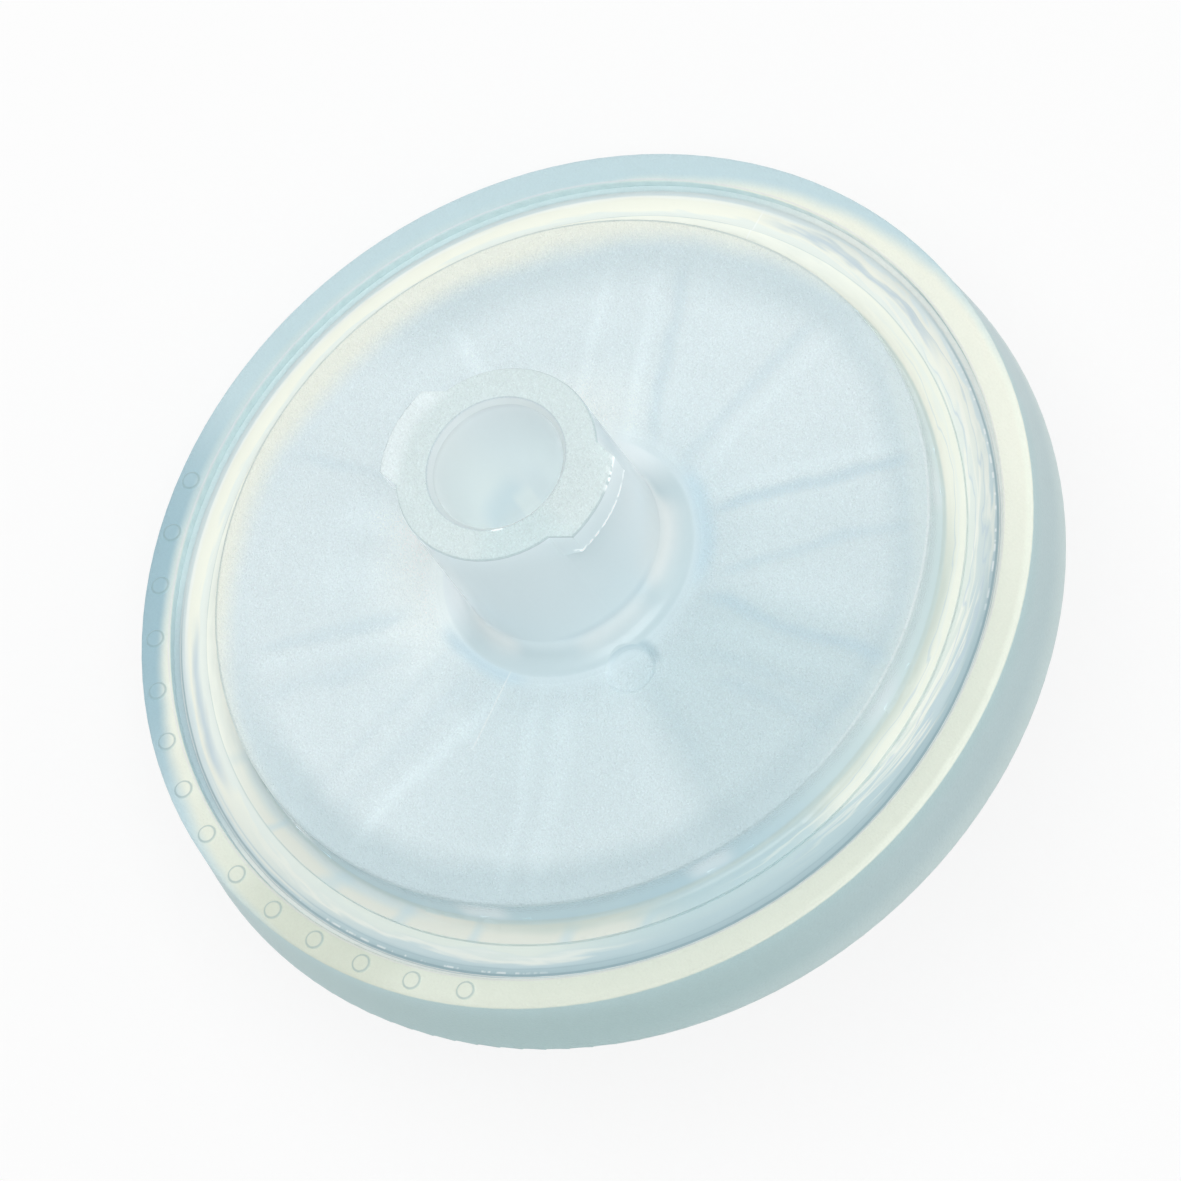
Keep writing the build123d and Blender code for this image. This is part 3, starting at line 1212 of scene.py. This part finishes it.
    def dashes(self, at: Place) -> Signal:
        """The broken white glints in two clusters along the rim's inner edge.

        Args:
            at: The place.

        Returns:
            The glints, 0 to 1.
        """
        place = at.stretched(1.0, self.dash_density)
        broken = at.graph.noise(place, detail=2.0, roughness=0.7).rise(0.0, 0.1)
        clusters = together(at, self.finish.dash_sides).at_most(1.0)
        return self.finish.dash.share(at, broken) * broken * clusters


@dataclass(frozen=True)
class OutletFinish:
    """The lower moulding, in the same plastic, with a finely grained back."""

    body: Colour = (224, 237, 240)
    wall: Colour = (214, 230, 234)
    tip: Colour = (234, 243, 244)
    tip_end: Colour = (242, 247, 246)
    bore: Colour = (190, 209, 215)
    plastic: Plastic = Plastic(roughness=0.26, grain_roughness=0.14)
    grain_scale: float = 13.0
    grain_light: float = 0.06
    cloud_light: float = 0.06
    relief: float = 0.04


@dataclass(frozen=True)
class OutletHousing(Moulding):
    """The lower housing: the support for the membrane, the boss and the outlet tip."""

    node: Node = Node.OUTLET_HOUSING
    finish: OutletFinish = OutletFinish()
    boss_radius: float = 3.9
    boss_height: float = -3.95
    tip_height: float = -11.45
    end_length: float = 2.5
    bore_radius: float = 1.05

    def material(self, pose: FilterPose) -> bpy.types.Material:
        """Builds the outlet housing's material.

        Args:
            pose: The filter's pose.

        Returns:
            The material.
        """
        shader = Shader("outlet_finish")
        at = Place(shader, pose)
        finish = self.finish
        grain = shader.noise(at.vector, finish.grain_scale, detail=1.0, roughness=0.7)
        tip = at.height.rise(self.boss_height - 0.1, self.boss_height - 0.6)
        end = at.height.rise(self.tip_height + self.end_length, self.tip_height)
        bore = at.radius.rise(self.bore_radius + 0.05, self.bore_radius - 0.02)
        wall = at.radius.rise(self.boss_radius + 0.7, self.boss_radius)
        colour = shader.mix(wall, finish.body, finish.wall)
        colour = shader.mix(tip, colour, shader.mix(end, finish.tip, finish.tip_end))
        colour = shader.mix(bore, colour, finish.bore)
        grained = (1.0 - tip) * (1.0 - bore)
        light = grain * (grained * finish.grain_light + 0.02) + at.cloud * finish.cloud_light
        colour = shader.brighten(colour, light)
        normal = shader.bump(grain * grained, finish.relief)
        return finish.plastic.finish(shader, colour, normal, grained)


@dataclass(frozen=True)
class MembraneFinish:
    """The filter film: matt white and finely felted."""

    film: Colour = (244, 247, 249)
    edge: Colour = (232, 237, 241)
    plastic: Plastic = Plastic(roughness=0.75, weight=0.3)
    felt_scale: float = 12.0
    felt_light: float = 0.06
    relief: float = 0.04


@dataclass(frozen=True)
class Membrane(Moulding):
    """The filter disc that the two housings clamp."""

    node: Node = Node.MEMBRANE
    finish: MembraneFinish = MembraneFinish()
    pressed_radius: float = 11.5

    def material(self, pose: FilterPose) -> bpy.types.Material:
        """Builds the membrane's material.

        Args:
            pose: The filter's pose.

        Returns:
            The material.
        """
        shader = Shader("membrane_film")
        at = Place(shader, pose)
        finish = self.finish
        felt = shader.noise(at.vector, finish.felt_scale, detail=4.0, roughness=0.65)
        pressed = at.radius.rise(self.pressed_radius - 0.1, self.pressed_radius)
        colour = shader.mix(pressed, finish.film, finish.edge)
        colour = shader.brighten(colour, felt * finish.felt_light)
        return finish.plastic.finish(shader, colour, shader.bump(felt, finish.relief))


@dataclass(frozen=True)
class Table:
    """The plain pale surface that the filter lies on."""

    half_width: float = 2.0
    colour: Colour = (245.81, 245.81, 245.81)
    glow_share: float = 0.8

    def build(self) -> None:
        """Makes the table and gives it its finish."""
        mesh = bpy.data.meshes.new("table")
        form = bmesh.new()
        bmesh.ops.create_grid(form, x_segments=1, y_segments=1, size=self.half_width)
        form.to_mesh(mesh)
        form.free()
        table = bpy.data.objects.new("table", mesh)
        bpy.context.scene.collection.objects.link(table)
        mesh.materials.append(self.material())
        log.info("built the table")

    def material(self) -> bpy.types.Material:
        """Builds a white finish that keeps the filter's shadow.

        Returns:
            The material.
        """
        shader = Shader("table_white")
        matt = shader.node("ShaderNodeBsdfDiffuse", None, {"Color": self.colour})
        glow = shader.node("ShaderNodeEmission", None, {"Color": WHITE, "Strength": 1.0})
        share = shader.seen_directly() * self.glow_share
        values = {0: share, 1: matt.outputs[0], 2: glow.outputs[0]}
        return shader.surface(shader.node("ShaderNodeMixShader", None, values).outputs[0])


@dataclass(frozen=True)
class Lamp:
    """One broad soft lamp. Its share is how bright it makes a white surface that faces it."""

    name: str
    place: tuple[float, float, float]
    size: float
    share: float

    def build(self, target: Vector) -> None:
        """Makes the lamp and points it.

        Args:
            target: What it points at.
        """
        place = Vector(self.place)
        light = bpy.data.lights.new(self.name, "AREA")
        light.size = self.size
        light.energy = self.share * (math.pi * (target - place).length) ** 2
        lamp = bpy.data.objects.new(self.name, light)
        lamp.location = place
        lamp.rotation_euler = (target - place).to_track_quat("-Z", "Y").to_euler()
        bpy.context.scene.collection.objects.link(lamp)
        log.info("placed %s", self.name)


@dataclass(frozen=True)
class Studio:
    """Soft even light with broad lamps, and the camera above the filter."""

    sky_strength: float = 0.56
    lamps: tuple[Lamp, ...] = (
        Lamp("overhead_lamp", (-0.16, 0.02, 0.8), 0.5, 0.44),
        Lamp("side_lamp", (0.10, 0.50, 0.60), 0.9, 0.08),
    )
    lens: float = 288.2
    sensor: float = 36.0
    view_distance: float = 0.3
    camera_turn: float = 52.09
    centre_right: float = -0.00032
    centre_up: float = 0.00058

    def build(self, pose: FilterPose) -> None:
        """Makes the world, the lamps and the camera.

        Args:
            pose: The filter's pose.
        """
        scene = bpy.context.scene
        scene.view_settings.view_transform = "Standard"
        scene.world = self.world()
        for lamp in self.lamps:
            lamp.build(pose.centre)
        scene.camera = self.camera(pose)

    def world(self) -> bpy.types.World:
        """Makes even light all round, and white wherever the world itself is seen.

        Returns:
            The world.
        """
        world = bpy.data.worlds.new("soft_room")
        world.use_nodes = True
        graph = Graph(world.node_tree)
        room, white = (
            graph.node("ShaderNodeBackground", None, {"Color": WHITE, "Strength": strength})
            for strength in (self.sky_strength, 1.0)
        )
        values = {0: graph.seen_directly(), 1: room.outputs[0], 2: white.outputs[0]}
        mixed = graph.node("ShaderNodeMixShader", None, values)
        graph.node("ShaderNodeOutputWorld", None, {"Surface": mixed.outputs[0]})
        return world

    def camera(self, pose: FilterPose) -> bpy.types.Object:
        """The camera, looking straight down.

        Args:
            pose: The filter's pose.

        Returns:
            The camera.
        """
        turn = math.radians(self.camera_turn)
        right = Vector((math.cos(turn), math.sin(turn), 0.0))
        up = Vector((-math.sin(turn), math.cos(turn), 0.0))
        data = bpy.data.cameras.new("camera")
        data.lens = self.lens
        data.sensor_width = self.sensor
        camera = bpy.data.objects.new("camera", data)
        camera.location = pose.centre - right * self.centre_right - up * self.centre_up
        camera.location.z += self.view_distance
        camera.rotation_euler = (0.0, 0.0, turn)
        bpy.context.scene.collection.objects.link(camera)
        return camera


def main() -> None:
    """Builds the scene in order."""
    logging.basicConfig(level=logging.INFO, format="%(message)s")
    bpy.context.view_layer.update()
    pose = FilterPose.from_record(frame["record"])
    Studio().build(pose)
    Table().build()
    for moulding in (OuterRing(), InletHousing(), Membrane(), OutletHousing()):
        moulding.dress(pose)


if __name__ == "__main__":
    main()
